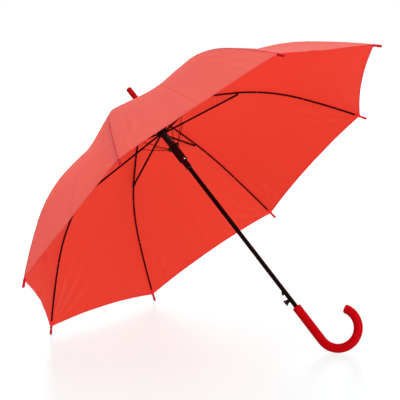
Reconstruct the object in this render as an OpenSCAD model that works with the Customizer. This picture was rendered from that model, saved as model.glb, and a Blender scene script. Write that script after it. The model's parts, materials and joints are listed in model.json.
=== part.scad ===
// Stick umbrella with eight ribs, open and lying on its rim and its crook handle.
// Every sub-part is drawn in the umbrella's own frame: the shaft is Z, the ferrule points to +Z,
// and Z = 0 is the plane of the rib hinges. rest_pose() then lays the whole umbrella on the floor.

/* [Ribs] */
// Radius of the circle that the rib hinges lie on
hinge_r = 9; // [8.6:0.2:9.4]
// Slope of a rib at its hinge, in degrees below level
rib_root_slope = 8.8; // [8:0.2:10]
// Length of a rib from its hinge to the stretcher joint
rib_inner_len = 248; // [244:1:252]
// Bend radius of a rib inside the stretcher joint
rib_inner_bend = 1425; // [1350:25:1500]
// Length of the strongly bent middle of a rib
rib_middle_len = 174; // [170:1:178]
// Bend radius of the middle of a rib
rib_middle_bend = 422; // [415:1:430]
// Length of the outer end of a rib
rib_outer_len = 174; // [170:1:178]
// Bend radius of the outer end of a rib
rib_outer_bend = 1534; // [1450:25:1600]
// Width of a rib
rib_w = 2.8; // [2.6:0.1:2.9]
// Thickness of a rib
rib_t = 3; // [2.6:0.1:3]
// Length of the swaged tip on a rib's end
tip_len = 16; // [14:1:18]
// Diameter of the swaged tip
tip_d = 6; // [5.6:0.1:6.4]

/* [Stretchers and links] */
// Depth of the runner hub's hinges under the rib hinges
hub_depth = 76; // [74:1:78]
// Drop from the rib to the stretcher's pivot
joint_drop = 3.5; // [3.3:0.1:3.7]
// Sideways offset of a stretcher from its rib
stretcher_offset = 3.5; // [3.4:0.1:3.6]
// Width of a stretcher
stretcher_w = 3.4; // [3.2:0.1:3.5]
// Thickness of a stretcher
stretcher_t = 3.4; // [3:0.1:3.6]
// Distance from the hub's hinge to the link's hook along a stretcher
link_reach = 56; // [54:1:58]
// Diameter of the link wire
link_d = 1.5; // [1.3:0.1:1.6]

/* [Runner] */
// Radius of the notched hub
hub_r = 11.3; // [11:0.1:11.5]
// Depth of the barrel's hinge ring under the rib hinges
ear_depth = 122; // [120:1:124]
// Radius of the circle that the link hinges lie on
ear_r = 13; // [12.8:0.1:13.3]
// Diameter of the barrel
barrel_d = 20; // [19:0.5:21]
// Diameter of the barrel's lower neck
neck_d = 14.6; // [14:0.2:15.4]
// Depth of the step between barrel and neck
step_depth = 165.4; // [164.8:0.2:168]
// Depth of the barrel's lower end
barrel_end_depth = 189; // [188:0.5:190]
// Number of turns of the opening spring
spring_turns = 8; // [7:1:8]

/* [Shaft] */
// Diameter of the shaft tube
shaft_d = 10.4; // [10:0.1:10.5]
// Wall of the shaft tube
shaft_wall = 0.7; // [0.6:0.1:0.8]
// Height of the ferrule's end over the rib hinges
ferrule_h = 69.7; // [64:0.1:74]
// Diameter of the ferrule
ferrule_d = 14; // [13:0.5:15]
// Depth of the closing catch's lower face
catch_depth = 566.5; // [566:0.1:566.6]
// Depth of the middle of the release button
button_depth = 584; // [583:1:588]
// Travel of the release button
button_travel = 3; // [2:0.5:3]

/* [Handle] */
// Depth of the grip's upper end
grip_depth = 605.8; // [602:0.2:610]
// Length of the grip's straight part
grip_straight = 96; // [92:1:100]
// Radius of the crook's centre line
crook_r = 45.5; // [44:0.5:47]
// Angle that the crook turns through
crook_turn = 208; // [200:1:210]
// Diameter of the grip
grip_d = 20.4; // [19.6:0.2:21.2]
// Turn of the crook away from the side that faces the floor's opposite
crook_twist = 27; // [24:0.5:30]

/* [Canopy] */
// Thickness of the cloth as a solid
cloth_t = 0.8; // [0.6:0.1:1]
// Depth of the curve in the hem between two ribs
hem_scallop = 12; // [8:1:16]
// Width of the tie strap
strap_w = 24; // [20:1:28]

/* [Hidden] */
RIB_COUNT = 8;
pitch = 360 / RIB_COUNT;
$fn = 48;

shaft_r = shaft_d / 2;
grip_r = grip_d / 2;
wire_r = 0.5;
eye_r = 2.2;
running = 0.3;
shaft_top = 24;
shaft_bottom = -(grip_depth + 60);
cloth_lift = rib_t / 2 + 0.6;
cloth_start = 3.2;
cloth_end = rib_inner_len + rib_middle_len + rib_outer_len - tip_len;
crook_az = 180 + crook_twist;
button_az = crook_twist;
arc_fn = 360;

// A rib's centre line in its own plane: [radius, height], with the slope in degrees below level.
degrees_per_radian = 180 / PI;
slope_joint = rib_root_slope + rib_inner_len / rib_inner_bend * degrees_per_radian;
slope_middle = slope_joint + rib_middle_len / rib_middle_bend * degrees_per_radian;
slope_tip = slope_middle + rib_outer_len / rib_outer_bend * degrees_per_radian;
rib_hinge = [hinge_r, 0];
rib_joint = bend(rib_hinge, rib_root_slope, rib_inner_bend, slope_joint);
rib_elbow = bend(rib_joint, slope_joint, rib_middle_bend, slope_middle);
rib_tip = bend(rib_elbow, slope_middle, rib_outer_bend, slope_tip);
stretcher_pivot = rib_joint - joint_drop * normal(slope_joint);
hub_pivot = [hinge_r, -hub_depth];
stretcher_len = norm(stretcher_pivot - hub_pivot);
stretcher_dir = (stretcher_pivot - hub_pivot) / stretcher_len;
link_hook = hub_pivot + link_reach * stretcher_dir;
ear_pivot = [ear_r, -ear_depth];
link_len = norm(link_hook - ear_pivot);

// The point where an arc that starts at p with slope b0 reaches slope b
function bend(p, b0, r, b) = p + r * [sin(b) - sin(b0), cos(b) - cos(b0)];
// The outward normal of a centre line with slope b
function normal(b) = [sin(b), cos(b)];
// Slope and place of the rib's centre line at length s from its hinge
function rib_slope(s) =
    s < rib_inner_len ? rib_root_slope + s / rib_inner_bend * degrees_per_radian
    : s < rib_inner_len + rib_middle_len
        ? slope_joint + (s - rib_inner_len) / rib_middle_bend * degrees_per_radian
        : slope_middle + (s - rib_inner_len - rib_middle_len) / rib_outer_bend * degrees_per_radian;
function rib_point(s) =
    s < rib_inner_len ? bend(rib_hinge, rib_root_slope, rib_inner_bend, rib_slope(s))
    : s < rib_inner_len + rib_middle_len
        ? bend(rib_joint, slope_joint, rib_middle_bend, rib_slope(s))
        : bend(rib_elbow, slope_middle, rib_outer_bend, rib_slope(s));
function rib_azimuth(i) = pitch / 2 + pitch * (i - 1);

// Resting pose: the tilt at which two rib tips and the crook touch one floor.
tip_reach = rib_tip[0] * cos(pitch / 2);
tip_drop = -rib_tip[1];
function tip_depth(e) = tip_reach * cos(e) + tip_drop * sin(e) + tip_d / 2;
function crook_depth(e) =
    (grip_depth + grip_straight) * sin(e) + grip_r
    + crook_r * (sqrt(pow(cos(e) * cos(crook_twist), 2) + pow(sin(e), 2)) - cos(e) * cos(crook_twist));
function solve_tilt(low, high, steps) =
    let (middle = (low + high) / 2)
    steps == 0 ? middle
    : crook_depth(middle) > tip_depth(middle) ? solve_tilt(low, middle, steps - 1)
    : solve_tilt(middle, high, steps - 1);
tilt = solve_tilt(30, 60, 40);
lift = tip_depth(tilt);
gore_steps = 20;
gore_spans = 6;
function gore_s(i) = cloth_start + (cloth_end - cloth_start) * i / gore_steps;
function cloth_x(s) =
    let (p = rib_point(s) + (cloth_lift + cloth_t) * normal(rib_slope(s)))
    -p[0] * cos(pitch / 2) * sin(tilt) - p[1] * cos(tilt);
low_x = min([for (i = [0:gore_steps]) cloth_x(gore_s(i))]);
high_x = (grip_depth + grip_straight) * cos(tilt) + crook_r * cos(crook_twist) * sin(tilt) + grip_r
    + crook_r * sqrt(pow(cos(crook_twist) * sin(tilt), 2) + pow(cos(tilt), 2));
centre_x = (low_x + high_x) / 2;

module rest_pose() {
    translate([-centre_x, 0, lift]) rotate([0, tilt - 90, 0]) rotate([0, 0, 180]) children();
}

module at_azimuth(angle) {
    rotate([0, 0, angle]) children();
}

// A cylinder along the tangent, centred on a point of the rib's plane
module cross_pin(p, r, w, offset = 0) {
    translate([p[0], offset, p[1]]) rotate([90, 0, 0]) cylinder(r = r, h = w, center = true);
}

// A bent bar along an arc from slope b0 at point p to slope b1
module bent_bar(p, b0, r, b1, t, w) {
    centre = p - r * normal(b0);
    translate([centre[0], 0, centre[1]])
        rotate([90, 0, 0])
            rotate([0, 0, 90 - b1])
                rotate_extrude(angle = b1 - b0, $fn = arc_fn) translate([r, 0]) square([t, w], center = true);
}

// A straight bar in a rib's plane from p to q, its middle at a sideways offset
module straight_bar(p, q, t, w, offset) {
    span = q - p;
    translate([p[0], offset, p[1]])
        rotate([0, -atan2(span[1], span[0]), 0])
            translate([norm(span) / 2, 0, 0]) cube([norm(span), w, t], center = true);
}

module wire_ring(ring_r, z) {
    translate([0, 0, z]) rotate_extrude() translate([ring_r, 0]) circle(r = wire_r, $fn = 24);
}

// ---- Shaft group ----

module shaft_tube() {
    color("#2a0607")
    rest_pose()
    difference() {
        translate([0, 0, shaft_bottom]) cylinder(r = shaft_r, h = shaft_top - shaft_bottom);
        translate([0, 0, shaft_bottom - 1]) cylinder(r = shaft_r - shaft_wall, h = shaft_top - shaft_bottom + 2);
        at_azimuth(button_az) {
            translate([0, -slot_w / 2, -catch_depth - running]) cube([shaft_r + 1, slot_w, catch_len + 2 * running]);
            translate([0, -slot_w / 2, -button_depth - button_half - running])
                cube([shaft_r + 1, slot_w, 2 * (button_half + running)]);
        }
    }
}
slot_w = 3;
catch_len = 11;
button_half = 4.2;

module ferrule() {
    flare_r = 10;
    base_z = washer_z + washer_t;
    color("#b50f15")
    rest_pose()
    difference() {
        rotate_extrude(convexity = 4) polygon([
            [0, base_z], [flare_r, base_z], [flare_r, base_z + 2], [ferrule_d / 2, base_z + 8],
            [ferrule_d / 2, ferrule_h - 3], [ferrule_d / 2 - 1, ferrule_h - 1],
            [ferrule_d / 2 - 3, ferrule_h], [0, ferrule_h]
        ]);
        translate([0, 0, base_z - 1]) cylinder(r = shaft_r, h = shaft_top - base_z + 1);
    }
}
washer_z = 3.3;
washer_t = 1.2;

module top_washer() {
    color("#8c1014")
    rest_pose()
    translate([0, 0, washer_z]) difference() {
        cylinder(r = 15, h = washer_t);
        translate([0, 0, -1]) cylinder(r = shaft_r, h = washer_t + 2);
    }
}

// A notched ring with one slot for each hinged arm and a groove for its wire
module notched_ring(outer_r, low, high, bore_r, ring_r, slot, offset) {
    slot_start = 6.5;
    difference() {
        translate([0, 0, low]) cylinder(r = outer_r, h = high - low);
        translate([0, 0, low - 1]) cylinder(r = bore_r, h = high - low + 2);
        rotate_extrude() translate([ring_r, 0]) circle(r = wire_r + 0.1, $fn = 24);
        for (i = [1:RIB_COUNT])
            at_azimuth(rib_azimuth(i))
                translate([slot_start, offset - slot / 2, low - 1]) cube([outer_r, slot, high - low + 2]);
    }
}

module crown() {
    color("#1d0809")
    rest_pose() {
        notched_ring(11.5, -7, 1.2, shaft_r, hinge_r, rib_w + 0.6, 0);
        translate([0, 0, 1.2]) difference() {
            cylinder(r = shaft_r + 1.2, h = washer_z - 1.2);
            translate([0, 0, -1]) cylinder(r = shaft_r, h = washer_z);
        }
    }
}

module crown_wire() {
    color("#9a9a9c") rest_pose() wire_ring(hinge_r, 0);
}

module open_stop() {
    color("#2a0607")
    rest_pose()
    translate([0, 0, -hub_depth + hub_up + running]) difference() {
        cylinder(r = shaft_r + 1.8, h = 4);
        translate([0, 0, -1]) cylinder(r = shaft_r, h = 6);
    }
}

// ---- Runner group ----

hub_up = 7;
hub_down = 5;
hub_ring_r = norm([hinge_r, stretcher_offset]);

// The notched hub, with the sleeve that telescopes into the barrel
module runner_hub() {
    color("#2a0607")
    rest_pose() translate([0, 0, -hub_depth]) {
        notched_ring(hub_r, -hub_down, hub_up, shaft_r + running, hub_ring_r, stretcher_w + 0.6, stretcher_offset);
        translate([0, 0, -sleeve_len]) difference() {
            cylinder(r = sleeve_r, h = sleeve_len - hub_down);
            translate([0, 0, -1]) cylinder(r = shaft_r + running, h = sleeve_len);
        }
    }
}
sleeve_r = shaft_r + 1.5;
sleeve_len = 50;

module hub_wire() {
    color("#9a9a9c") rest_pose() wire_ring(hub_ring_r, -hub_depth);
}

// A coil swept as one solid round the shaft, wider towards the barrel
module opening_spring() {
    coil_r = 8;
    coil_flare = 0.6;
    coil_wire_r = 0.8;
    sides = 6;
    turn_steps = 20;
    top = -hub_depth - hub_down - coil_wire_r - running;
    bottom = -ear_depth + flange_up + coil_wire_r + running;
    rings = spring_turns * turn_steps;
    points = [
        for (i = [0:rings]) let (a = i * 360 / turn_steps, z = top + (bottom - top) * i / rings)
            for (j = [0:sides - 1])
                let (b = j * 360 / sides, r = coil_r + coil_flare * i / rings + coil_wire_r * cos(b))
                [r * cos(a), r * sin(a), z + coil_wire_r * sin(b)]
    ];
    walls = [
        for (i = [0:rings - 1]) for (j = [0:sides - 1])
            let (k = (j + 1) % sides, p = i * sides)
            each [[p + j, p + k, p + sides + j], [p + k, p + sides + k, p + sides + j]]
    ];
    ends = [[for (j = [sides - 1:-1:0]) j], [for (j = [0:sides - 1]) rings * sides + j]];
    color("#3c3a3b") rest_pose() polyhedron(points = points, faces = concat(walls, ends), convexity = 10);
}

flange_up = 2;
flange_down = 2.6;
collar_h = 2.5;

module runner_barrel() {
    bore_r = shaft_r + running;
    ear_slot = link_d + 1;
    neck_r = neck_d / 2;
    window_low = -barrel_end_depth + collar_h;
    color("#2e0305")
    rest_pose()
    difference() {
        union() {
            translate([0, 0, -ear_depth - flange_down]) cylinder(r = ear_r + 1.7, h = flange_up + flange_down);
            translate([0, 0, -step_depth]) cylinder(d = barrel_d, h = step_depth - ear_depth);
            translate([0, 0, -step_depth - 1.2]) cylinder(r1 = neck_r, r2 = barrel_d / 2, h = 1.2, $fn = 96);
            translate([0, 0, window_low]) cylinder(r = neck_r, h = -step_depth - window_low);
        }
        translate([0, 0, -barrel_end_depth - 1]) cylinder(r = bore_r, h = barrel_end_depth);
        translate([0, 0, -counterbore_depth]) cylinder(r = sleeve_r + running, h = counterbore_depth - 100);
        translate([0, 0, -ear_depth])
            rotate_extrude() translate([ear_r, 0]) circle(r = wire_r + 0.1, $fn = 24);
        for (i = [1:RIB_COUNT])
            at_azimuth(rib_azimuth(i))
                translate([barrel_d / 2 + 0.9, -ear_slot / 2, -ear_depth - 5]) cube([9, ear_slot, 10]);
        at_azimuth(button_az)
            translate([0, -slot_w / 2 - running, window_low - 1]) cube([neck_r + 1, slot_w + 2 * running, 14]);
        at_azimuth(rivet_az)
            translate([barrel_d / 2 - 1.4, 0, -rivet_depth]) rotate([0, 90, 0]) cylinder(r = 1.5, h = 10);
    }
}
rivet_az = 150;
rivet_depth = 163.2;
counterbore_depth = 160;

module barrel_wire() {
    color("#9a9a9c") rest_pose() wire_ring(ear_r, -ear_depth);
}

module barrel_rivet() {
    color("#c9c9cb")
    rest_pose() at_azimuth(rivet_az)
        translate([barrel_d / 2 - 1.4, 0, -rivet_depth]) rotate([0, 90, 0])
            rotate_extrude() polygon([[0, 0], [1.5, 0], [1.5, 1.5], [2.6, 1.5], [2.3, 2.4], [1.3, 3], [0, 3.2]]);
}

module barrel_collar() {
    color("#5b4a4b")
    rest_pose()
    translate([0, 0, -barrel_end_depth]) difference() {
        cylinder(r = neck_d / 2 + 0.4, h = collar_h);
        translate([0, 0, -1]) cylinder(r = shaft_r + running, h = collar_h + 2);
    }
}

// ---- Catch and button ----

module closing_catch() {
    proud = 4.4;
    inner = -0.6;
    color("#1d0809")
    rest_pose() at_azimuth(button_az)
        translate([0, 0, -catch_depth]) rotate([90, 0, 0])
            linear_extrude(height = slot_w - 0.6, center = true) polygon([
                [inner, 0], [shaft_r + proud - 1, 0], [shaft_r + proud, 1.4],
                [shaft_r + proud - 0.8, 3.6], [shaft_r - 0.6, catch_len], [inner, catch_len]
            ]);
}

module release_button() {
    head_in = shaft_r + 5.3;
    head_out = shaft_r + 10.4;
    inner = -0.6;
    color("#1d0809")
    rest_pose() at_azimuth(button_az)
        translate([0, 0, -button_depth]) rotate([90, 0, 0]) {
            linear_extrude(height = slot_w - 0.6, center = true) polygon([
                [inner, -button_half], [head_in - 2, -button_half], [head_in, -5],
                [head_in, 5], [head_in - 2, button_half], [inner, button_half]
            ]);
            linear_extrude(height = 7, center = true) polygon([
                [head_in, -5], [head_out - 0.8, -7], [head_out, -6.2], [head_out, 6.2], [head_out - 0.8, 7],
                [head_in, 5]
            ]);
        }
}

// A leaf inside the tube that pushes catch and button outwards
module catch_spring() {
    leaf_t = 0.4;
    color("#9a9a9c")
    rest_pose() at_azimuth(button_az)
        translate([-shaft_r + shaft_wall + 0.1, -0.7, -button_depth - 6]) cube([leaf_t, 1.4, button_depth - catch_depth + 24]);
}

// ---- Handle ----

module grip() {
    rounding = 2.4;
    spigot = 1;
    color("#c1101c")
    rest_pose() at_azimuth(crook_az) {
        translate([0, 0, -grip_depth - grip_straight]) difference() {
            rotate_extrude(convexity = 4) polygon(concat(
                [[0, 0], [grip_r, 0]],
                [for (a = [0:15:90])
                    [grip_r - rounding * (1 - cos(a)), grip_straight - rounding * (1 - sin(a))]],
                [[0, grip_straight]]
            ));
            translate([0, 0, grip_straight - 60]) cylinder(r = shaft_r, h = 61);
        }
        translate([crook_r, 0, -grip_depth - grip_straight]) rotate([90, 0, 0]) {
            rotate([0, 0, 180]) rotate_extrude(angle = crook_turn, $fn = 180)
                translate([crook_r, 0]) circle(r = grip_r);
            rotate([0, 0, 180 + crook_turn]) translate([crook_r, 0, 0]) rotate([-90, 0, 0])
                rotate_extrude() polygon(concat(
                    [[0, -spigot], [grip_r - spigot, -spigot], [grip_r - spigot, 0]],
                    [for (a = [0:15:90]) [grip_r - end_round * (1 - cos(a)), end_round * sin(a)]],
                    [[0, end_round]]
                ));
        }
    }
}
end_round = 4;

// ---- Ribs, stretchers and links, one of each for every azimuth ----

knuckle_r = 1.8;
joint_gap = 2.4;

module rib(i) {
    start = rib_point(eye_r - 0.4);
    stop_s = rib_inner_len - 0.6;
    color("#200506")
    rest_pose() at_azimuth(rib_azimuth(i)) difference() {
        union() {
            bent_bar(start, rib_slope(eye_r - 0.4), rib_inner_bend, rib_slope(stop_s), rib_t, rib_w);
            cross_pin(rib_hinge, eye_r, rib_w);
            cross_pin(rib_joint, knuckle_r, rib_w);
            cross_pin(stretcher_pivot, 2, rib_w);
        }
        cross_pin(rib_hinge, wire_r + 0.2, rib_w + 1);
    }
}

// The springy outer half of a rib, with its swaged tip
module rib_end(i) {
    elbow_s = rib_inner_len + rib_middle_len;
    tip_s = elbow_s + rib_outer_len;
    start_s = rib_inner_len + joint_gap;
    seat_s = tip_s - tip_len;
    color("#200506")
    rest_pose() at_azimuth(rib_azimuth(i)) {
        bent_bar(rib_point(start_s), rib_slope(start_s), rib_middle_bend, slope_middle, rib_t, rib_w);
        bent_bar(rib_elbow, slope_middle, rib_outer_bend, rib_slope(seat_s), rib_t, rib_w);
        translate([rib_tip[0], 0, rib_tip[1]]) rotate([0, slope_tip - 90, 0])
            rotate_extrude() polygon([
                [0, -tip_d / 2], [tip_d / 4, -tip_d * 0.43], [tip_d * 0.43, -tip_d / 4], [tip_d / 2, 0],
                [tip_d * 0.45, tip_d * 0.9], [tip_d * 0.26, tip_d * 1.1], [tip_d * 0.26, tip_len], [0, tip_len]
            ]);
    }
}

module stretcher(i) {
    color("#200506")
    rest_pose() at_azimuth(rib_azimuth(i)) difference() {
        union() {
            straight_bar(hub_pivot, stretcher_pivot, stretcher_t, stretcher_w, stretcher_offset);
            cross_pin(hub_pivot, 2.3, stretcher_w, stretcher_offset);
            cross_pin(stretcher_pivot, 2.3, stretcher_w, stretcher_offset);
            cross_pin(stretcher_pivot, 1.5, 1, stretcher_offset + stretcher_w / 2 + 0.5);
        }
        cross_pin(hub_pivot, 1.3, stretcher_w + 1, stretcher_offset);
    }
}

module link(i) {
    hook_w = stretcher_offset - stretcher_w / 2 - running;
    eye_w = link_d + 0.3;
    color("#4a2224")
    rest_pose() at_azimuth(rib_azimuth(i)) difference() {
        union() {
            translate([ear_pivot[0], 0, ear_pivot[1]])
                rotate([0, 90 - atan2((link_hook - ear_pivot)[1], (link_hook - ear_pivot)[0]), 0])
                    cylinder(d = link_d, h = link_len, $fn = 24);
            cross_pin(ear_pivot, 1.5, eye_w);
            cross_pin(link_hook, link_d * 0.4, hook_w, hook_w / 2);
        }
        cross_pin(ear_pivot, wire_r + 0.2, eye_w + 1);
    }
}

// ---- Canopy ----

// A point of the cloth over gore i: v runs from one rib to the next, s along the ribs
function cloth_point(i, s, v, rise, inset) =
    let (
        p = rib_point(s) + rise * normal(rib_slope(s)),
        a = rib_azimuth(i),
        first = [p[0] * cos(a) - inset * sin(a), p[0] * sin(a) + inset * cos(a), p[1]],
        b = a + pitch,
        second = [p[0] * cos(b) + inset * sin(b), p[0] * sin(b) - inset * cos(b), p[1]]
    )
    first + (second - first) * v;
function hem_share(v) = 1 - 4 * v * (1 - v) * hem_scallop / (cloth_end - cloth_start);

// A closed sheet over a grid of cloth points, slanted by a skew along its spans
module cloth_sheet(i, s0, s1, v0, v1, rise, steps, spans, scallop, skew = 0) {
    row = spans + 1;
    layer = row * (steps + 1);
    points = [
        for (k = [0:1]) for (m = [0:steps]) for (n = [0:spans])
            let (v = v0 + (v1 - v0) * n / spans, s = s0 + (s1 - s0) * m / steps + skew * n / spans)
            cloth_point(i, scallop ? cloth_start + (s - cloth_start) * hem_share(v) : s, v,
                rise + k * cloth_t, 0.3)
    ];
    function quad(a, b, c, d) = [[a, b, c], [a, c, d]];
    faces = concat(
        [for (m = [0:steps - 1]) for (n = [0:spans - 1]) let (p = m * row + n)
            each quad(p, p + row, p + row + 1, p + 1)],
        [for (m = [0:steps - 1]) for (n = [0:spans - 1]) let (p = layer + m * row + n)
            each quad(p, p + 1, p + row + 1, p + row)],
        [for (m = [0:steps - 1]) let (p = m * row)
            each quad(p, p + layer, p + layer + row, p + row)],
        [for (m = [0:steps - 1]) let (p = m * row + spans)
            each quad(p, p + row, p + layer + row, p + layer)],
        [for (n = [0:spans - 1]) each quad(n, n + 1, n + 1 + layer, n + layer)],
        [for (n = [0:spans - 1]) let (p = steps * row + n)
            each quad(p, p + layer, p + 1 + layer, p + 1)]
    );
    polyhedron(points = points, faces = faces, convexity = 4);
}

module gore(i) {
    color("#e8402f")
    rest_pose() cloth_sheet(i, cloth_start, cloth_end, 0, 1, cloth_lift, gore_steps, gore_spans, true);
}

// The tie strap lies across the outside of gore 1, from its middle to its second rib
strap_s = 458;
strap_v0 = 0.52;
strap_v1 = 0.96;
strap_skew = 30;
strap_rise = cloth_lift + cloth_t + 1.2;

module tie_strap() {
    color("#c92a20")
    rest_pose()
    cloth_sheet(1, strap_s, strap_s + strap_w, strap_v0, strap_v1, strap_rise, 2, 4, false, strap_skew);
}

module strap_snap() {
    v = strap_v1 - 0.03;
    s = strap_s + strap_w / 2 + strap_skew * (v - strap_v0) / (strap_v1 - strap_v0);
    p = cloth_point(1, s, v, strap_rise + cloth_t + 0.5, 0);
    color("#b9b9bb")
    rest_pose() translate(p) rotate([0, 0, rib_azimuth(1) + pitch / 2]) rotate([0, rib_slope(s), 0])
        rotate_extrude() polygon([[0, 0], [5, 0], [5, 0.8], [4.2, 1.6], [0, 2]]);
}

shaft_tube();
ferrule();
top_washer();
crown();
crown_wire();
open_stop();
runner_hub();
hub_wire();
opening_spring();
runner_barrel();
barrel_wire();
barrel_rivet();
barrel_collar();
closing_catch();
release_button();
catch_spring();
grip();
tie_strap();
strap_snap();
for (i = [1:RIB_COUNT]) {
    rib(i);
    rib_end(i);
    stretcher(i);
    link(i);
    gore(i);
}
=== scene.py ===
import json
import math

import bpy
import numpy as np
from mathutils import Matrix, Vector


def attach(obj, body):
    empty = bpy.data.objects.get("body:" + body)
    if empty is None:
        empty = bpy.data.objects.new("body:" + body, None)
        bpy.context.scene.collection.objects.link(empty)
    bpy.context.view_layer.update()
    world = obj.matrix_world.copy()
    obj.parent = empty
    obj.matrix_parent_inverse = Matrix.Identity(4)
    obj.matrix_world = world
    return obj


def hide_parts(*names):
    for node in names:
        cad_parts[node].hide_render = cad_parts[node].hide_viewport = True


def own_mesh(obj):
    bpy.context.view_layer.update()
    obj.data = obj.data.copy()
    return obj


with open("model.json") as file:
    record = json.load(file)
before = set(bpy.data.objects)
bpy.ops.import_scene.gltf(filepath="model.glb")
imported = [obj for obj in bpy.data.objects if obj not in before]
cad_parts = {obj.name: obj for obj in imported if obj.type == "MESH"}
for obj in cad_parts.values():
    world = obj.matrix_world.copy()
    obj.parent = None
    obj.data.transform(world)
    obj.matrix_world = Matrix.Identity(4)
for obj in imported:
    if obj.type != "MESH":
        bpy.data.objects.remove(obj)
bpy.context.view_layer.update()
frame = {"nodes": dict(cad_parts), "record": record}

# ---------------------------------------------------------------- the umbrella's own frame
# The shaft is z (ferrule up), z = 0 is the plane of the rib hinges, and x points between ribs 1 and 8.

RIBS = 8
PITCH = math.tau / RIBS
JOINTS = {j["name"]: j for j in frame["record"]["behaviour"]["joints"]}
HINGES = [np.array(JOINTS[f"rib_{i}_hinge"]["pos_m"]) for i in range(1, RIBS + 1)]
ORIGIN = np.mean(HINGES, axis=0)
SHAFT_UP = -np.array(JOINTS["runner_slide"]["axis"])
SHAFT_UP = SHAFT_UP / np.linalg.norm(SHAFT_UP)
ACROSS = (HINGES[0] + HINGES[-1]) / 2 - ORIGIN
ACROSS = ACROSS / np.linalg.norm(ACROSS)
AXES = np.array([ACROSS, np.cross(SHAFT_UP, ACROSS), SHAFT_UP])


def to_row(points):
    """Points of the umbrella's own frame, in the row frame."""
    return ORIGIN + np.asarray(points, float) @ AXES


def azimuth(i):
    return PITCH * (i - 0.5)


def rib_axes(i):
    """Rib i's radial, tangential and shaft directions, as rows, in the umbrella's frame."""
    c, s = math.cos(azimuth(i)), math.sin(azimuth(i))
    return np.array([[c, s, 0], [-s, c, 0], [0, 0, 1]])


def from_rib(i, points):
    """Points given as (radial, tangential, height) of rib i, in the row frame."""
    return to_row(np.asarray(points, float) @ rib_axes(i))


# ---------------------------------------------------------------- the rib's curve, in metres

HINGE_R = 0.009
JOINT_DROP = 0.0035
ROOT_SLOPE = math.radians(8.8)
INNER_LEN, INNER_BEND = 0.248, 1.425
MIDDLE_LEN, MIDDLE_BEND = 0.174, 0.422
OUTER_LEN, OUTER_BEND = 0.174, 1.534
TIP_LEN = 0.016
RIB_LEN = INNER_LEN + MIDDLE_LEN + OUTER_LEN
RIB_W, RIB_T = 0.0028, 0.003
CLOTH_LIFT = 0.0024
CLOTH_START = 0.0034
CLOTH_END = RIB_LEN - TIP_LEN
HEM_SCALLOP = 0.012

CURVE_S = np.linspace(0, RIB_LEN, 2401)


def slope_at(s):
    s = np.asarray(s, float)
    inner = ROOT_SLOPE + np.minimum(s, INNER_LEN) / INNER_BEND
    middle = np.clip(s - INNER_LEN, 0, MIDDLE_LEN) / MIDDLE_BEND
    outer = np.maximum(s - INNER_LEN - MIDDLE_LEN, 0) / OUTER_BEND
    return inner + middle + outer


def running_sum(values):
    step = CURVE_S[1] - CURVE_S[0]
    return np.concatenate([[0], np.cumsum((values[1:] + values[:-1]) / 2 * step)])


CURVE_R = HINGE_R + running_sum(np.cos(slope_at(CURVE_S)))
CURVE_Z = -running_sum(np.sin(slope_at(CURVE_S)))


def rib_at(s, rise=0.0):
    """(radius, height) of the rib's centre line at length s, raised by rise along its outward normal."""
    b = slope_at(s)
    radius = np.interp(s, CURVE_S, CURVE_R) + rise * np.sin(b)
    height = np.interp(s, CURVE_S, CURVE_Z) + rise * np.cos(b)
    return radius, height


def half_chord(s):
    """Half the distance between two neighbouring ribs at length s."""
    return float(rib_at(s)[0]) * math.sin(PITCH / 2)


# ---------------------------------------------------------------- nodes for materials


class Nodes:
    """A material's node tree, with short calls for the nodes that the materials share."""

    def __init__(self, name, color, roughness, metallic=0.0):
        self.material = bpy.data.materials.new(name)
        self.material.use_nodes = True
        self.tree = self.material.node_tree
        self.shader = self.tree.nodes["Principled BSDF"]
        self.output = self.tree.nodes["Material Output"]
        self.set(self.shader, Metallic=metallic, Roughness=roughness)
        self.shader.inputs["Base Color"].default_value = (*color, 1)
        self.material.diffuse_color = (*color, 1)

    def set(self, node, **values):
        for name, value in values.items():
            node.inputs[name.replace("_", " ")].default_value = value
        return node

    def add(self, kind, **settings):
        node = self.tree.nodes.new(kind)
        for name, value in settings.items():
            setattr(node, name, value)
        return node

    def link(self, a, b):
        self.tree.links.new(a, b)

    def math(self, operation, *values):
        node = self.add("ShaderNodeMath", operation=operation)
        for socket, value in zip(node.inputs, values):
            if isinstance(value, (int, float)):
                socket.default_value = value
            else:
                self.link(value, socket)
        return node.outputs[0]

    def noise(self, scale, detail=3.0, roughness=0.5, stretch=None):
        coords = self.add("ShaderNodeTexCoord").outputs["Object"]
        if stretch:
            mapping = self.add("ShaderNodeMapping")
            mapping.inputs["Scale"].default_value = stretch
            self.link(coords, mapping.inputs["Vector"])
            coords = mapping.outputs["Vector"]
        node = self.add("ShaderNodeTexNoise")
        self.set(node, Scale=scale, Detail=detail, Roughness=roughness)
        self.link(coords, node.inputs["Vector"])
        return node.outputs["Fac"]

    def between(self, factor, low, high):
        """A number that runs from low to high with factor."""
        node = self.add("ShaderNodeMapRange")
        self.link(factor, node.inputs["Value"])
        self.set(node, To_Min=low, To_Max=high)
        return node.outputs["Result"]

    def mix(self, factor, a, b):
        node = self.add("ShaderNodeMix", data_type="RGBA")
        if isinstance(factor, (int, float)):
            node.inputs[0].default_value = factor
        else:
            self.link(factor, node.inputs[0])
        for socket, value in ((node.inputs[6], a), (node.inputs[7], b)):
            if isinstance(value, tuple):
                socket.default_value = (*value, 1)
            else:
                self.link(value, socket)
        return node.outputs[2]

    def bump(self, height, distance, strength=1.0, before=None):
        node = self.add("ShaderNodeBump")
        self.set(node, Strength=strength, Distance=distance)
        self.link(height, node.inputs["Height"])
        if before is not None:
            self.link(before, node.inputs["Normal"])
        return node.outputs["Normal"]


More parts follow.
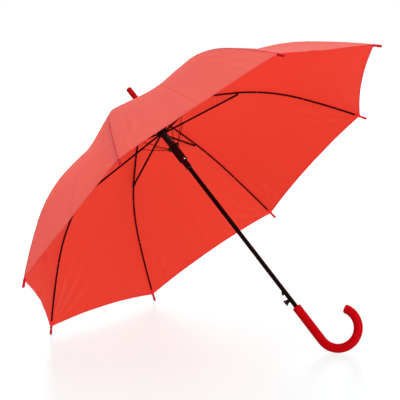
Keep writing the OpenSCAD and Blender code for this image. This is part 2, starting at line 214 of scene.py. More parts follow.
def enamel(name, color, roughness=0.32, flake=0.25, shine=0.08):
    """Stoved enamel on steel: a slightly uneven gloss, dust-fine grain and rubbed spots."""
    n = Nodes(name, color, roughness)
    worn = n.noise(900, 4, 0.6)
    rubbed = tuple(min(1, c * 2 + 0.004) for c in color)
    n.link(n.mix(n.between(n.noise(120, 3), 0, flake), color, rubbed), n.shader.inputs["Base Color"])
    n.link(n.between(worn, roughness * 0.75, roughness * 1.35), n.shader.inputs["Roughness"])
    n.link(n.bump(n.noise(2500, 2), 0.00004, 0.35), n.shader.inputs["Normal"])
    n.set(n.shader, Specular_IOR_Level=shine)
    return n.material


def bare_metal(name, color, roughness=0.28, brushed=(1, 1, 14)):
    """Drawn or plated metal with fine streaks and a little tarnish."""
    n = Nodes(name, color, roughness, metallic=1.0)
    streaks = n.noise(700, 4, 0.6, brushed)
    dark = tuple(c * 0.55 for c in color)
    n.link(n.mix(n.between(n.noise(160, 4), 0, 0.6), color, dark), n.shader.inputs["Base Color"])
    n.link(n.between(streaks, roughness * 0.7, roughness * 1.4), n.shader.inputs["Roughness"])
    n.link(n.bump(streaks, 0.00003, 0.4), n.shader.inputs["Normal"])
    return n.material


def moulded(name, color, roughness=0.2, coat=0.6, grain=0.00003, shine=0.5):
    """Moulded plastic: faint flow marks in the colour, orange-peel gloss and fine scuffs."""
    n = Nodes(name, color, roughness)
    light = tuple(min(1, c * 1.15) for c in color)
    marks = n.between(n.noise(35, 3, 0.5, (1, 1, 0.3)), 0, 0.7)
    n.link(n.mix(marks, color, light), n.shader.inputs["Base Color"])
    scuffs = n.noise(300, 6, 0.7, (1, 1, 3))
    n.link(n.between(scuffs, roughness * 0.8, roughness * 1.3), n.shader.inputs["Roughness"])
    n.link(n.bump(n.noise(420, 2), grain, 0.25), n.shader.inputs["Normal"])
    n.set(n.shader, Coat_Weight=coat, Coat_Roughness=0.06, Specular_IOR_Level=shine)
    return n.material


def cloth(name, outer, inner, deep, through, translucence):
    """Woven cloth that lets light through: outer and inner face colours (the outer paler, a painted sheen;
    the inner deeper, painted light through the cloth), a deep one for seams and hems, and the colour of the
    light that passes. Painted shade and painted light lie along the folds."""
    n = Nodes(name, outer, 0.5)
    uv = n.add("ShaderNodeUVMap", uv_map="cloth").outputs["UV"]
    split = n.add("ShaderNodeSeparateXYZ")
    n.link(uv, split.inputs[0])
    u, v = split.outputs[0], split.outputs[1]
    seam = n.add("ShaderNodeAttribute", attribute_name="seam_distance").outputs["Fac"]
    hem = n.add("ShaderNodeAttribute", attribute_name="hem_distance").outputs["Fac"]

    thread = math.tau / 0.00045
    warp = n.math("SINE", n.math("MULTIPLY", u, thread))
    weft = n.math("SINE", n.math("MULTIPLY", v, thread))
    weave = n.math("MULTIPLY", warp, weft)

    # Doubled cloth: 5 mm of allowance at each side of a seam, and a rolled edge of 1.6 mm
    in_seam = n.math("LESS_THAN", seam, 0.005)
    in_hem = n.math("LESS_THAN", hem, 0.0016)
    doubled = n.math("MAXIMUM", n.math("MULTIPLY", in_seam, 0.6), in_hem)

    # Stitches: 2.2 mm long with gaps, in a line 3 mm from the seam and 4 mm from the hem's edge
    def stitch_line(distance, place, along):
        near = n.math("LESS_THAN", n.math("ABSOLUTE", n.math("SUBTRACT", distance, place)), 0.00025)
        dash = n.math("LESS_THAN", n.math("FRACT", n.math("MULTIPLY", along, 1 / 0.003)), 0.72)
        return n.math("MULTIPLY", near, dash)

    joined = n.math("LESS_THAN", seam, 0.0022)
    stitches = n.math("MAXIMUM", stitch_line(seam, 0.0030, v), stitch_line(hem, 0.0040, u))

    # The inner face's colour is deeper than the outer face's: painted light that comes through the cloth on
    # the inside, and a painted sheen on the outer face
    inside = n.add("ShaderNodeNewGeometry").outputs["Backfacing"]
    cloudy = n.between(n.noise(14, 4, 0.55), 0.0, 0.55)
    tint = n.mix(inside, n.mix(cloudy, outer, tuple(c * 0.9 for c in outer)), inner)
    tint = n.mix(n.math("MULTIPLY", in_hem, 0.8), tint, deep)
    # Painted shade and painted light along the folds: by the folds' slope across the gore, one side of each
    # fold is darkened and the other lightened, as if lit from one side
    fold = n.add("ShaderNodeAttribute", attribute_name="fold_slope_for_painted_light").outputs["Fac"]
    painted_fold_shade, painted_fold_light = n.math("MULTIPLY", fold, 1.5), n.math("MULTIPLY", fold, -1.5)
    for socket in (painted_fold_shade, painted_fold_light):
        socket.node.use_clamp = True
    tint = n.mix(painted_fold_shade, tint, tuple(c * 0.6 for c in outer))
    tint = n.mix(painted_fold_light, tint, (0.95, 0.20, 0.15))
    tint = n.mix(n.math("MULTIPLY", joined, 0.9), tint, deep)
    tint = n.mix(n.math("MULTIPLY", stitches, 0.4), tint, tuple(c * 0.5 for c in deep))
    n.link(tint, n.shader.inputs["Base Color"])
    n.link(n.between(n.noise(600, 2), 0.42, 0.6), n.shader.inputs["Roughness"])
    n.set(n.shader, Sheen_Weight=0.10, Sheen_Roughness=0.35, Specular_IOR_Level=0.20)
    n.shader.inputs["Sheen Tint"].default_value = (1.0, 0.85, 0.82, 1)

    normal = n.bump(weave, 0.00005, 0.35)
    normal = n.bump(n.noise(60, 4, 0.6), 0.0006, 0.35, normal)
    normal = n.bump(stitches, 0.0003, 0.8, normal)
    n.link(normal, n.shader.inputs["Normal"])

    light_through = n.add("ShaderNodeBsdfTranslucent")
    # The light that passes gets the same painted shade and painted light along the folds
    passed = n.mix(painted_fold_shade, through, tuple(c * 0.6 for c in through))
    passed = n.mix(painted_fold_light, passed, (1.0, 0.09, 0.05))
    passed = n.mix(n.math("MULTIPLY", doubled, 0.3), passed, deep)
    n.link(passed, light_through.inputs["Color"])
    n.link(normal, light_through.inputs["Normal"])
    blend = n.add("ShaderNodeMixShader")
    n.link(n.between(doubled, translucence, translucence * 0.6), blend.inputs[0])
    n.link(n.shader.outputs[0], blend.inputs[1])
    n.link(light_through.outputs[0], blend.inputs[2])
    n.link(blend.outputs[0], n.output.inputs["Surface"])
    return n.material


# The outer face colours are lighter than the inner ones: a painted sheen on the outer face, and painted
# light through the cloth on the inner face
CLOTH = cloth(
    "canopy_cloth", outer=(0.75, 0.215, 0.178), inner=(0.89, 0.060, 0.033), deep=(0.95, 0.002, 0.018),
    through=(1.0, 0.030, 0.010), translucence=0.54)
STRAP = cloth(
    "strap_cloth", outer=(0.78, 0.110, 0.084), inner=(0.78, 0.050, 0.030), deep=(0.80, 0.004, 0.016),
    through=(0.9, 0.02, 0.01), translucence=0.24)
WELT = cloth(
    "seam_cloth", outer=(0.96, 0.008, 0.030), inner=(0.84, 0.006, 0.020), deep=(0.84, 0.004, 0.020),
    through=(1.0, 0.01, 0.02), translucence=0.12)
GRIP = moulded("grip_plastic", (0.40, 0.0006, 0.0030), 0.5, coat=0.0, shine=0.02, grain=0.00001)
FERRULE = moulded("ferrule_plastic", (0.46, 0.0008, 0.002), 0.5, coat=0.0, shine=0.04)
TIP = moulded("tip_plastic", (0.46, 0.0006, 0.010), 0.16, coat=0.0, shine=0.06)
RUNNER = moulded("runner_plastic", (0.014, 0.0006, 0.0006), 0.45, coat=0.0, shine=0.1, grain=0.00006)
SHAFT = enamel("shaft_enamel", (0.008, 0.0008, 0.001), roughness=0.34, shine=0.02)
RIB = enamel("rib_enamel", (0.003, 0.0003, 0.0004), roughness=0.45, shine=0.02)
LINK = enamel("link_wire", (0.006, 0.0004, 0.0004), roughness=0.4, shine=0.04)
CATCH = enamel("catch_steel", (0.004, 0.0004, 0.0005), roughness=0.42, shine=0.03)
WIRE = bare_metal("bare_wire", (0.16, 0.14, 0.14))
SPRING = bare_metal("spring_steel", (0.055, 0.035, 0.035), 0.26)
COLLAR = bare_metal("collar_metal", (0.10, 0.08, 0.08), 0.35, (8, 8, 1))
RIVET = bare_metal("rivet_metal", (0.48, 0.48, 0.50), 0.24, (4, 4, 4))
THREAD = moulded("tie_thread", (0.55, 0.02, 0.02), roughness=0.7, coat=0.0, grain=0.0001)

NODE_MATERIALS = {
    "shaft_tube": SHAFT, "open_stop": SHAFT, "ferrule": FERRULE, "top_washer": FERRULE,
    "crown": RUNNER, "runner_hub": RUNNER, "runner_barrel": RUNNER, "release_button": RUNNER,
    "crown_wire": WIRE, "hub_wire": WIRE, "barrel_wire": WIRE, "catch_spring": SPRING,
    "barrel_collar": COLLAR, "barrel_rivet": RIVET, "strap_snap": RIVET,
    "closing_catch": CATCH, "grip": GRIP,
}
for i in range(1, RIBS + 1):
    NODE_MATERIALS[f"stretcher_{i}"] = RIB
    NODE_MATERIALS[f"link_{i}"] = LINK

for name, material in NODE_MATERIALS.items():
    slots = frame["nodes"][name].material_slots
    for k in range(len(slots)):
        slots[k].material = material


# ---------------------------------------------------------------- mesh making


def new_piece(name, points, faces, material, smooth=True):
    mesh = bpy.data.meshes.new(name)
    mesh.from_pydata([tuple(p) for p in np.asarray(points, float)], [], [tuple(f) for f in faces])
    mesh.validate()
    mesh.shade_smooth() if smooth else mesh.shade_flat()
    mesh.materials.append(material)
    piece = bpy.data.objects.new(name, mesh)
    bpy.context.scene.collection.objects.link(piece)
    return piece


def grid_faces(rows, columns, start=0, wrap=False):
    """Quads of a grid of points; wrap joins the last column to the first."""
    last = columns if wrap else columns - 1
    return [
        (start + r * columns + c, start + r * columns + (c + 1) % columns,
         start + (r + 1) * columns + (c + 1) % columns, start + (r + 1) * columns + c)
        for r in range(rows - 1) for c in range(last)
    ]


class Parts:
    """Gathers closed forms, given in (radial, tangential, height) of one rib, into one mesh."""

    def __init__(self):
        self.points, self.faces = [], []

    def add(self, points, faces):
        start = len(self.points)
        self.points += [tuple(p) for p in points]
        self.faces += [tuple(start + k for k in f) for f in faces]

    def tube(self, rings):
        """A closed skin through rings of equal length, capped at both ends."""
        count, around = len(rings), len(rings[0])
        faces = grid_faces(count, around, wrap=True)
        faces.append(tuple(range(around - 1, -1, -1)))
        faces.append(tuple(range((count - 1) * around, count * around)))
        self.add([p for ring in rings for p in ring], faces)

    def lathe(self, origin, axis, profile, around=20):
        """A turned form: profile is (distance along axis, radius) from one end to the other."""
        axis = np.array(axis, float) / np.linalg.norm(axis)
        side = np.cross(axis, (0, 1, 0) if abs(axis[1]) < 0.9 else (1, 0, 0))
        side /= np.linalg.norm(side)
        other = np.cross(axis, side)
        angles = [math.tau * k / around for k in range(around)]
        self.tube([
            [np.array(origin) + axis * d + r * (math.cos(a) * side + math.sin(a) * other) for a in angles]
            for d, r in profile
        ])


# ---------------------------------------------------------------- ribs

CHANNEL_WALL = 0.00055


def channel_ring(s, width, depth, wall=CHANNEL_WALL):
    """The U-shaped section of a rib at length s. Its back is under the cloth; its channel opens inwards."""
    r, z = rib_at(s)
    b = slope_at(s)
    out = np.array([math.sin(b), 0, math.cos(b)])
    w, t, bevel = width / 2, depth / 2, 0.00025
    section = [
        (-w, -t), (-w, t - bevel), (-w + bevel, t), (w - bevel, t), (w, t - bevel), (w, -t),
        (w - wall, -t), (w - wall, t - wall), (-w + wall, t - wall), (-w + wall, -t),
    ]
    return [np.array([r, 0, z]) + y * np.array([0, 1, 0]) + h * out for y, h in section]


def eye(parts, centre, radius, width, hole=0.0007):
    """A flat ring round a hinge wire, across the rib's plane."""
    around = 20
    rings = []
    for y, r in ((-width / 2, hole), (-width / 2, radius), (width / 2, radius), (width / 2, hole)):
        rings.append([
            (centre[0] + r * math.cos(a), y, centre[1] + r * math.sin(a))
            for a in (math.tau * k / around for k in range(around))
        ])
    points = [p for ring in rings for p in ring]
    last = (len(rings) - 1) * around
    bore = [(last + k, last + (k + 1) % around, (k + 1) % around, k) for k in range(around)]
    parts.add(points, grid_faces(len(rings), around, wrap=True) + bore)


def rib_inner(i):
    """A rib's channel from the crown to the joint, with its eye, its end boss and the stretcher's boss."""
    parts = Parts()
    lengths = np.linspace(0.0018, INNER_LEN - 0.0008, 40)
    parts.tube([channel_ring(s, RIB_W, RIB_T) for s in lengths])
    eye(parts, rib_at(0.0), 0.0022, RIB_W)
    r, z = rib_at(INNER_LEN)
    b = slope_at(INNER_LEN)
    pin = (r - JOINT_DROP * math.sin(b), z - JOINT_DROP * math.cos(b))
    across = (0, 1, 0)
    half, bevel = RIB_W / 2, 0.0002
    for centre, radius in (((r, z), 0.0019), (pin, 0.0020)):
        edge = radius - bevel
        boss = [(-half, edge), (-half + bevel, radius), (half - bevel, radius), (half, edge)]
        parts.lathe((centre[0], 0, centre[1]), across, boss)
    pin_head = [(-half - 0.0008, 0.0006), (-half - 0.0006, 0.0011), (-half, 0.0012), (0, 0.0012)]
    parts.lathe((pin[0], 0, pin[1]), across, pin_head)
    return new_piece(f"rib_inner_{i}", from_rib(i, parts.points), parts.faces, RIB)


def rib_outer(i):
    """A rib's channel from past the joint into its tip."""
    parts = Parts()
    lengths = np.linspace(INNER_LEN + 0.0024, RIB_LEN - TIP_LEN + 0.002, 60)
    parts.tube([channel_ring(s, RIB_W, RIB_T) for s in lengths])
    return new_piece(f"rib_outer_{i}", from_rib(i, parts.points), parts.faces, RIB)


def tip_cap(i):
    """The moulded tip: a round end, a body that tapers to a sewing groove, and a collar on the rib."""
    r, z = rib_at(RIB_LEN)
    b = float(slope_at(RIB_LEN))
    back = (-math.cos(b), 0, math.sin(b))
    end = 0.0031
    quarter = np.linspace(0, math.pi / 2, 9)
    rounded = [(-end * math.cos(a), max(end * math.sin(a), 0.00005)) for a in quarter]
    body = [(0.0060, 0.00310), (0.0102, 0.00290), (0.0110, 0.00280)]
    groove = [(0.0114, 0.00230), (0.0126, 0.00230), (0.0130, 0.00280)]
    collar = [(0.0140, 0.00330), (0.0166, 0.00330), (0.0174, 0.00280), (0.0176, 0.0018)]
    parts = Parts()
    parts.lathe((r, 0, z), back, rounded + body + groove + collar, 28)
    return new_piece(f"tip_cap_{i}", from_rib(i, parts.points), parts.faces, TIP)


def corner_wrap(i):
    """The gore corners' turned cloth, sewn round the rib where it meets the tip."""
    r, z = rib_at(RIB_LEN)
    b = float(slope_at(RIB_LEN))
    profile = [(0.0162, 0.0016), (0.0164, 0.0024), (0.0220, 0.0027), (0.0290, 0.0024), (0.0310, 0.0013)]
    parts = Parts()
    parts.lathe((r, 0, z), (-math.cos(b), 0, math.sin(b)), profile, 20)
    return new_piece(f"corner_wrap_{i}", from_rib(i, parts.points), parts.faces, WELT)


def thread_tie(i, s, name):
    """Three turns of thread round a rib and the seam above it, with a small knot."""
    parts = Parts()
    thread, around, steps = 0.00035, 8, 22
    r, z = rib_at(s)
    b = slope_at(s)
    out = np.array([math.sin(b), 0, math.cos(b)])
    along = np.array([math.cos(b), 0, -math.sin(b)])
    centre = np.array([r, 0, z]) + 0.0005 * out
    half_w, half_t = RIB_W / 2 + 0.0005, RIB_T / 2 + 0.0012
    for turn in (-1, 0, 1):
        rings = []
        for k in range(steps + 1):
            a = math.tau * k / steps
            lean = turn * 0.0009 + 0.0009 * (k / steps - 0.5)
            outward = np.array([0, math.cos(a), 0]) + math.sin(a) * out
            at = centre + half_w * math.cos(a) * np.array([0, 1, 0])
            at = at + half_t * math.sin(a) * out + lean * along
            rings.append([at + thread * (math.cos(q) * outward + math.sin(q) * along)
                          for q in (math.tau * m / around for m in range(around))])
        parts.tube(rings)
    knot = centre - (half_t + 0.0003) * out
    knot_profile = [(0, 0.0002), (0.0004, 0.0008), (0.0012, 0.0008), (0.0016, 0.0002)]
    parts.lathe(knot - 0.0008 * along, along, knot_profile, 10)
    return new_piece(name, from_rib(i, parts.points), parts.faces, THREAD)


TIE_PLACES = (0.300, 0.425)
for i in range(1, RIBS + 1):
    inner = rib_inner(i)
    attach(inner, f"rib_{i}")
    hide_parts(f"rib_{i}")
    outer, cap = rib_outer(i), tip_cap(i)
    for piece, slot in ((outer, "rib_enamel"), (cap, "ferrule_plastic")):
        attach(piece, f"tip_{i}")
        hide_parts(f"rib_end_{i}")
    for k, s in enumerate(TIE_PLACES):
        tie = thread_tie(i, s, f"rib_tie_{i}_{'ab'[k]}")
        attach(tie, f"tip_{i}")

# ---------------------------------------------------------------- canopy

SAG = 0.010
CREASE = 0.0012
PUCKER = 0.0007
CORNER_FOLD = 0.034
DRAWN = 0.00018
RIM_CHORD = 0.41
CLOTH_LEN = CLOTH_END - CLOTH_START
# The folds of the corners are deepest at one corner of the last gore, which rests near the floor
DEEP_CORNER, OTHER_CORNERS = 1.0, 0.22


def hem_length(w):
    """The length at which the hem lies, a share w of the way across a gore."""
    return CLOTH_START + CLOTH_LEN * (1 - 4 * w * (1 - w) * HEM_SCALLOP / CLOTH_LEN)


def ripple(gore, s, w):
    """Small folds of the stretched cloth, inwards negative; zero on both ribs."""
    phase = gore * 1.7
    from_seam = np.minimum(w, 1 - w)
    between = np.sin(math.pi * w) ** 2
    near_rib = np.exp(-from_seam / 0.06) * (1 - np.exp(-from_seam / 0.012))
    folds = np.sin(s * 150 + phase) * 0.6 + np.sin(s * 83 + 2.1 * phase) * 0.4
    to_hem = np.clip((s - 0.42) / 0.16, 0, 1) ** 2
    hem_waves = np.sin(w * 19 + phase) * 0.5 + np.sin(w * 31 + 1.3 * phase) * 0.35
    across = from_seam * RIM_CHORD
    up = CLOTH_END + 0.004 - s
    far = np.hypot(across, up)
    turn = np.arctan2(across, up)
    strength = np.where((w > 0.5) & (gore == RIBS), DEEP_CORNER, OTHER_CORNERS)
    fan = far * np.exp(-((far / 0.10) ** 2)) * (1 - np.exp(-((far / 0.03) ** 2)))
    fan = fan * np.sin(math.pi * np.clip(turn / 1.6, 0, 1))
    corner_phase = np.where(w < 0.5, phase, 2.6 * phase)
    pulled = strength * fan * np.sin(turn * (17 + 2 * math.sin(phase)) + 9 * far + corner_phase)
    beside = np.exp(-(((from_seam - 0.13) / 0.07) ** 2)) * np.clip((s - 0.12) / 0.15, 0, 1)
    drawn = beside * np.sin(w * 90 + phase + 5 * s)
    puckers = folds * near_rib + 1.6 * hem_waves * between * to_hem
    return PUCKER * puckers + CORNER_FOLD * pulled + DRAWN * drawn


def gore_beside(i, side):
    """The gore on side 1 or -1 of rib i."""
    return i if side > 0 else (i - 2) % RIBS + 1


def cloth_at(i, side, s, v, rise=CLOTH_LIFT):
    """The canopy at length s, a share v of the way from rib i to the next rib on that side (1 or -1)."""
    s, v = np.asarray(s, float), np.asarray(v, float)
    gore = gore_beside(i, side)
    w = v if side > 0 else 1 - v
    r, z = rib_at(s, rise)
    x = r * (1 - v + v * math.cos(PITCH))
    y = r * v * math.sin(PITCH)
    angle = np.arctan2(y, x)
    b = slope_at(s)
    reach = np.clip((s - CLOTH_START) / 0.25, 0, 1) * np.clip((CLOTH_END + 0.10 - s) / 0.30, 0, 1)
    inward = SAG * reach * np.sin(math.pi * v) ** 1.5
    inward = inward + CREASE * np.exp(-(((0.5 - v) * r * 2) / 0.004) ** 2) * np.clip(s / 0.05, 0, 1)
    push = ripple(gore, s, w) - inward
    n = np.stack([np.sin(b) * np.cos(angle), np.sin(b) * np.sin(angle), np.cos(b)], -1)
    p = np.stack([x, y, z], -1) + push[..., None] * n
    p[..., 1] *= side
    return p


def cloth_normal(i, side, s, v):
    """Outward normal of the canopy, in rib i's directions. On the rib and on the crease it is the mean
    of the two sides."""
    ds, dv = 0.0004, 0.0012
    low = np.clip(v - dv, 0, 1)
    across = cloth_at(i, side, s, v + dv) - cloth_at(i, side, s, low)
    along = cloth_at(i, side, s + ds, v) - cloth_at(i, side, s - ds, v)
    n = np.cross(across, along) * -side
    n /= np.linalg.norm(n, axis=-1, keepdims=True)
    n *= np.where(n[..., 2:3] < 0, -1, 1)
    on_rib = (v < 1e-6)[..., None]
    flat = n * np.array([1, 0, 1])
    flat /= np.linalg.norm(flat, axis=-1, keepdims=True)
    c, q = math.cos(PITCH / 2), side * math.sin(PITCH / 2)
    on_crease = (np.abs(v - 0.5) < 1e-6)[..., None]
    tangent = np.array([-q, c, 0])
    middle = n - (n @ tangent)[..., None] * tangent
    middle /= np.linalg.norm(middle, axis=-1, keepdims=True)
    return np.where(on_rib, flat, np.where(on_crease, middle, n))


def split_length(v):
    """The length at which the gore crosses the plane of the rib's flex hinge."""
    joint_r = float(rib_at(INNER_LEN)[0])
    return np.interp(joint_r / (1 - v * (1 - math.cos(PITCH))), CURVE_R, CURVE_S)


V_STEPS = np.concatenate([
    [0, 0.006, 0.014], np.arange(0.026, 0.26, 0.014), np.linspace(0.27, 0.47, 9), [0.485, 0.494, 0.5]])
HEM_DEPTH = 0.003
HEM_GAP = 0.0006
SLOPE_STEP = 0.004


def set_attributes(piece, shading):
    """Numbers on a mesh's points, by name, which the cloth's material reads."""
    for attribute, values in shading.items():
        data = piece.data.attributes.new(attribute, "FLOAT", "POINT").data
        data.foreach_set("value", np.array(values, np.float32).ravel())


def cloth_piece(name, i, side, s_from, s_to, rows, hemmed):
    """Half a gore beside rib i, from s_from(v) to s_to(v), with its hem turned under where it has one."""
    points, normals, uvs, seam, hem, slope_for_painted_shade = [], [], [], [], [], []
    share = np.linspace(0, 1, rows)
    gore = gore_beside(i, side)
    for v in V_STEPS:
        vv = np.full(rows, v)
        start, end = float(s_from(v)), float(s_to(v))
        s = start + (end - start) * share
        rise = np.full(rows, CLOTH_LIFT)
        if hemmed:
            turned = np.array([end + 0.0002, end - 0.0006, end - HEM_DEPTH])
            s = np.concatenate([s, turned])
            rise = np.concatenate([rise, CLOTH_LIFT - HEM_GAP * np.array([0.5, 1.0, 0.9])])
            vv = np.full(len(s), v)
        p = np.array([cloth_at(i, side, a, b, c) for a, b, c in zip(s, vv, rise)])
        n = cloth_normal(i, side, s, vv)
        r, _ = rib_at(s)
        wide = v * r * 2 * math.sin(PITCH / 2)
        points.append(p)
        normals.append(n)
        uvs.append(np.stack([wide * side, s], -1))
        seam.append(wide)
        hem.append(np.where(np.arange(len(s)) < rows, np.maximum(hem_length(v) - s, 0), -0.001))
        w = vv if side > 0 else 1 - vv
        # The folds' slope across the gore, which the cloth's material turns into painted shade and painted
        # light
        above = ripple(gore, s, np.minimum(w + SLOPE_STEP, 1))
        below = ripple(gore, s, np.maximum(w - SLOPE_STEP, 0))
        slope_for_painted_shade.append((above - below) / (2 * SLOPE_STEP * RIM_CHORD))
    columns, count = len(V_STEPS), len(points[0])
    faces = []
    for c in range(columns - 1):
        for r in range(count - 1):
            a = c * count + r
            faces.append((a, a + 1, a + count + 1, a + count))
    piece = new_piece(name, from_rib(i, np.array(points).reshape(-1, 3)), faces, CLOTH)
    mesh = piece.data
    row_normals = (np.array(normals).reshape(-1, 3) @ rib_axes(i)) @ AXES
    if hemmed:
        turned_rows = np.tile(np.arange(count) >= rows + 1, columns)
        row_normals[turned_rows] *= -1
    # The faces point outwards, as the canopy does
    first = mesh.polygons[len(mesh.polygons) // 2]
    if np.dot(np.array(first.normal), row_normals[first.vertices[0]]) < 0:
        mesh.flip_normals()
    mesh.normals_split_custom_set_from_vertices([tuple(x) for x in row_normals])
    layer = mesh.uv_layers.new(name="cloth")
    flat_uv = np.array(uvs).reshape(-1, 2)
    loops = np.zeros(len(mesh.loops), int)
    mesh.loops.foreach_get("vertex_index", loops)
    layer.data.foreach_set("uv", flat_uv[loops].astype(np.float32).ravel())
    set_attributes(piece, {"seam_distance": seam, "hem_distance": hem, "fold_slope_for_painted_light": slope_for_painted_shade})
    return piece


CLOSED_KEEP = 0.115
INNER_TILT, OUTER_TILT = math.radians(14), math.radians(18)


def fold(piece, i, axis_in_rib, anchor_in_rib, keep=CLOSED_KEEP):
    """Gives a piece of cloth a mesh of its own."""
    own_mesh(piece)


# ---------------------------------------------------------------- seam welts

WELT_HALF = 0.0016
WELT_RISE = 0.0005


def seam_welt(i, s_from, s_to, name):
    """The turned allowance of two gores, felled flat along rib i on the outside of the canopy."""
    rows = int((s_to - s_from) / 0.006)
    top = [(-1, -0.1), (-0.85, 0.8), (-0.3, 1.0), (0.3, 1.0), (0.85, 0.8), (1, -0.1)]
    under = [(0.5, -0.2), (-0.5, -0.2)]
    rings = []
    for s in np.linspace(s_from, s_to, rows):
        chord = 2 * half_chord(s)
        rings.append([
            cloth_at(i, 1 if y >= 0 else -1, s, abs(y) * WELT_HALF / chord, CLOTH_LIFT + z * WELT_RISE)
            for y, z in top + under])
    parts = Parts()
    parts.tube(rings)
    return new_piece(name, from_rib(i, parts.points), parts.faces, WELT)


for i in range(1, RIBS + 1):
    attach(seam_welt(i, 0.006, INNER_LEN - 0.0005, f"seam_welt_{i}_inner"), f"rib_{i}")
    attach(seam_welt(i, INNER_LEN + 0.0005, CLOTH_END - 0.001, f"seam_welt_{i}_outer"), f"tip_{i}")
    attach(corner_wrap(i), f"tip_{i}")

# ---------------------------------------------------------------- canopy pieces


def fold_axis(side, s0, s1, tilt):
    """Across the rib, tilted towards the shaft."""
    r0, z0 = rib_at(s0)
    r1, z1 = rib_at(s1)
    m = math.atan2(z0 - z1, r1 - r0)
    return (-math.sin(m) * math.sin(tilt), side * math.cos(tilt), -math.cos(m) * math.sin(tilt))


def crown_edge(v):
    """The length at which the cloth starts, at the crown."""
    return CLOTH_START


def on_rib(s):
    """A point of a rib's centre line as (radial, tangential, height)."""
    r, z = rib_at(s)
    return float(r), 0, float(z)


# The pattern pieces: half a gore's width at its wider end, and its length, with an allowance for cutting
OUTER_MIDDLE = 0.42
INNER_FLAT = (half_chord(INNER_LEN) * 1.1, INNER_LEN * 1.1)
OUTER_FLAT = (half_chord(CLOTH_END) * 1.05, (CLOTH_END - INNER_LEN) * 1.1)

for i in range(1, RIBS + 1):
    for side, letter in ((1, "a"), (-1, "b")):
        inner = cloth_piece(f"canopy_inner_{i}_{letter}", i, side, crown_edge, split_length, 30, False)
        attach(inner, f"rib_{i}")
        fold(inner, i, fold_axis(side, 0, INNER_LEN, INNER_TILT), on_rib(INNER_LEN / 2))
        outer = cloth_piece(f"canopy_outer_{i}_{letter}", i, side, split_length, hem_length, 46, True)
        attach(outer, f"tip_{i}")
        fold(outer, i, fold_axis(side, INNER_LEN, CLOTH_END, OUTER_TILT), on_rib(OUTER_MIDDLE))
        for piece, part, flat in ((inner, "inner", INNER_FLAT), (outer, "outer", OUTER_FLAT)):
            trims = [f"seam_welt_{i}_{part}"] if side > 0 else []
            if side > 0 and part == "outer":
                trims.append(f"corner_wrap_{i}")
            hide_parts(f"gore_{gore_beside(i, side)}")

# ---------------------------------------------------------------- tie strap

STRAP_S, STRAP_W, STRAP_SKEW = 0.458, 0.024, 0.030
STRAP_V0, STRAP_V1 = 0.52, 0.96
STRAP_LEN = 0.16
STRAP_LOW, STRAP_HIGH = CLOTH_LIFT + 0.0002, CLOTH_LIFT + 0.0013


def tie_strap():
    """A doubled band of cloth, sewn to the middle of gore 1 and lying loosely across it to rib 2."""
    rows, columns = 40, 7
    count = rows * columns
    outer_layer, inner_layer = [], []
    for k in range(rows):
        share = k / (rows - 1)
        v = STRAP_V0 + (STRAP_V1 - STRAP_V0) * share
        for m in range(columns):
            s = STRAP_S + STRAP_W * m / (columns - 1) + STRAP_SKEW * share
            waves = 0.0007 * math.sin(share * 9.0 + 0.4) ** 2 * share
            waves += 0.0003 * math.sin(share * 23 + m * 0.5)
            loose = max(0, waves)
            edge = 0.0002 if m in (0, columns - 1) else 0
            inner_layer.append(cloth_at(2, -1, s, 1 - v, STRAP_LOW + loose))
            outer_layer.append(cloth_at(2, -1, s, 1 - v, STRAP_HIGH + loose - edge))
    points = np.array(outer_layer + inner_layer)
    faces = grid_faces(rows, columns)
    faces += [tuple(count + k for k in f[::-1]) for f in grid_faces(rows, columns)]
    rim = [r * columns for r in range(rows)] + [(rows - 1) * columns + c for c in range(1, columns)]
    rim += [r * columns + columns - 1 for r in range(rows - 2, -1, -1)] + list(range(columns - 2, 0, -1))
    faces += [(a, b, count + b, count + a) for a, b in zip(rim, rim[1:] + rim[:1])]
    piece = new_piece("tie_strap_cloth", from_rib(2, points), faces, STRAP)
    layer = piece.data.uv_layers.new(name="cloth")
    along = [(k % count) // columns / (rows - 1) * STRAP_LEN for k in range(2 * count)]
    over = [(k % count) % columns / (columns - 1) * STRAP_W for k in range(2 * count)]
    for loop in piece.data.loops:
        k = loop.vertex_index
        layer.data[loop.index].uv = (along[k], over[k])
    shading = {"hem_distance": [0.02] * (2 * count), "seam_distance": [min(w, STRAP_W - w) for w in over]}
    set_attributes(piece, shading)
    return piece


strap = tie_strap()
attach(strap, "tip_2")
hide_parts("tie_strap")
fold(strap, 2, fold_axis(-1, INNER_LEN, CLOTH_END, OUTER_TILT), on_rib(OUTER_MIDDLE))

# ---------------------------------------------------------------- opening spring

SPRING_TOP, SPRING_LOW = -0.0821, -0.1189
SPRING_TURNS = 8
COIL_R, COIL_FLARE, COIL_WIRE_R = 0.0080, 0.0006, 0.0008


def opening_spring():
    """The coils between hub and barrel, a little wider at their lower end."""
    points, steps, around = [], 30, 10
    rings = SPRING_TURNS * steps
    for k in range(rings + 1):
        a = math.tau * k / steps
        z = SPRING_TOP + (SPRING_LOW - SPRING_TOP) * k / rings
        for q in range(around):
            b = math.tau * q / around
            r = COIL_R + COIL_FLARE * k / rings + COIL_WIRE_R * math.cos(b)
            points.append((r * math.cos(a), r * math.sin(a), z + COIL_WIRE_R * math.sin(b)))
    faces = grid_faces(rings + 1, around, wrap=True)
    faces.append(tuple(range(around - 1, -1, -1)))
    faces.append(tuple(range(rings * around, (rings + 1) * around)))
    return new_piece("opening_spring_coil", to_row(points), faces, SPRING)


spring = opening_spring()
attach(spring, "hub")
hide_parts("opening_spring")
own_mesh(spring)

# ---------------------------------------------------------------- stage, light and camera


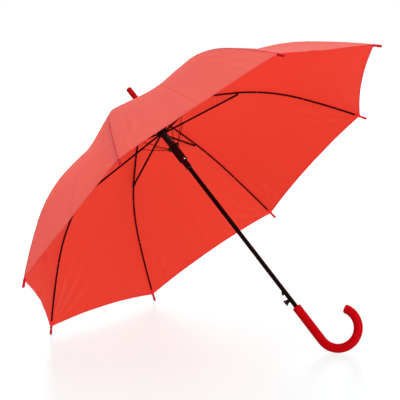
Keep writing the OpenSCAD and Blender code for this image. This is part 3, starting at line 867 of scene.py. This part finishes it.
def floor():
    """A sheet that gives off light of its own, as a light table does, so its shadows stay faint."""
    n = Nodes("floor_white", (0.065, 0.12, 0.12), 0.3)
    n.set(n.shader, Specular_IOR_Level=0.2)
    n.shader.inputs["Emission Color"].default_value = (1, 1, 1, 1)
    reach = n.add("ShaderNodeVectorMath", operation="LENGTH")
    n.link(n.add("ShaderNodeTexCoord").outputs["Object"], reach.inputs[0])
    glow = n.add("ShaderNodeMapRange")
    n.link(reach.outputs["Value"], glow.inputs["Value"])
    n.set(glow, From_Min=0.8, From_Max=3.0, To_Min=0.80, To_Max=0.97)
    n.link(glow.outputs["Result"], n.shader.inputs["Emission Strength"])
    half = 12.0
    corners = [(-half, -half, 0), (half, -half, 0), (half, half, 0), (-half, half, 0)]
    return new_piece("floor", corners, [(0, 1, 2, 3)], n.material)


floor()


def area_light(name, place, target, size, power):
    data = bpy.data.lights.new(name, "AREA")
    data.shape = "RECTANGLE"
    data.size, data.size_y = size
    data.energy = power
    lamp = bpy.data.objects.new(name, data)
    lamp.location = place
    lamp.rotation_mode = "QUATERNION"
    lamp.rotation_quaternion = (Vector(target) - Vector(place)).to_track_quat("-Z", "Y")
    bpy.context.scene.collection.objects.link(lamp)


MIDDLE = (0.0, 0.0, 0.35)
area_light("key_over", (0.3, -0.6, 3.4), MIDDLE, (1.8, 1.8), 56)
area_light("front_fill", (1.0, -3.8, 1.5), MIDDLE, (2.0, 1.6), 8)
area_light("inside_fill", (3.3, -0.9, 1.1), MIDDLE, (1.2, 1.2), 71)

world = bpy.data.worlds.new("studio")
world.use_nodes = True
# The studio's walls look white. Their light on the object is weaker, and weakest from the left
sky = world.node_tree.nodes["Background"]
sky.inputs["Color"].default_value = (1, 1, 1, 1)
lighting = world.node_tree.nodes.new("ShaderNodeLightPath").outputs["Is Diffuse Ray"]
towards = world.node_tree.nodes.new("ShaderNodeTexCoord").outputs["Generated"]
rightward = world.node_tree.nodes.new("ShaderNodeVectorMath")
rightward.operation = "DOT_PRODUCT"
rightward.inputs[1].default_value = (0.8, 0.6, 0)
side_light = world.node_tree.nodes.new("ShaderNodeMapRange")
side_light.inputs["From Min"].default_value = -1.0
side_light.inputs["To Min"].default_value = 0.10
side_light.inputs["To Max"].default_value = 0.62
strength = world.node_tree.nodes.new("ShaderNodeMapRange")
strength.inputs["To Min"].default_value = 1.0
world.node_tree.links.new(towards, rightward.inputs[0])
world.node_tree.links.new(rightward.outputs["Value"], side_light.inputs["Value"])
world.node_tree.links.new(side_light.outputs["Result"], strength.inputs["To Max"])
world.node_tree.links.new(lighting, strength.inputs["Value"])
world.node_tree.links.new(strength.outputs["Result"], sky.inputs["Strength"])
bpy.context.scene.world = world
bpy.context.scene.view_settings.view_transform = "Standard"

CAMERA_PLACE = Vector((1.7463, -2.3443, 0.7771))
LOOKING = Vector((-0.59968, 0.78555, -0.15263))
RIGHT = Vector((0.79769, 0.60201, -0.03571))
SENSOR_MM, FOCAL_SHARE = 36.0, 3.1715
camera_data = bpy.data.cameras.new("camera")
camera_data.sensor_width = SENSOR_MM
camera_data.lens = SENSOR_MM * FOCAL_SHARE
camera_data.clip_end = 100
camera = bpy.data.objects.new("camera", camera_data)
back = -LOOKING.normalized()
right = RIGHT.normalized()
up = back.cross(right)
camera.matrix_world = Matrix((
    (right.x, up.x, back.x, CAMERA_PLACE.x),
    (right.y, up.y, back.y, CAMERA_PLACE.y),
    (right.z, up.z, back.z, CAMERA_PLACE.z),
    (0, 0, 0, 1),
))
bpy.context.scene.collection.objects.link(camera)
bpy.context.scene.camera = camera
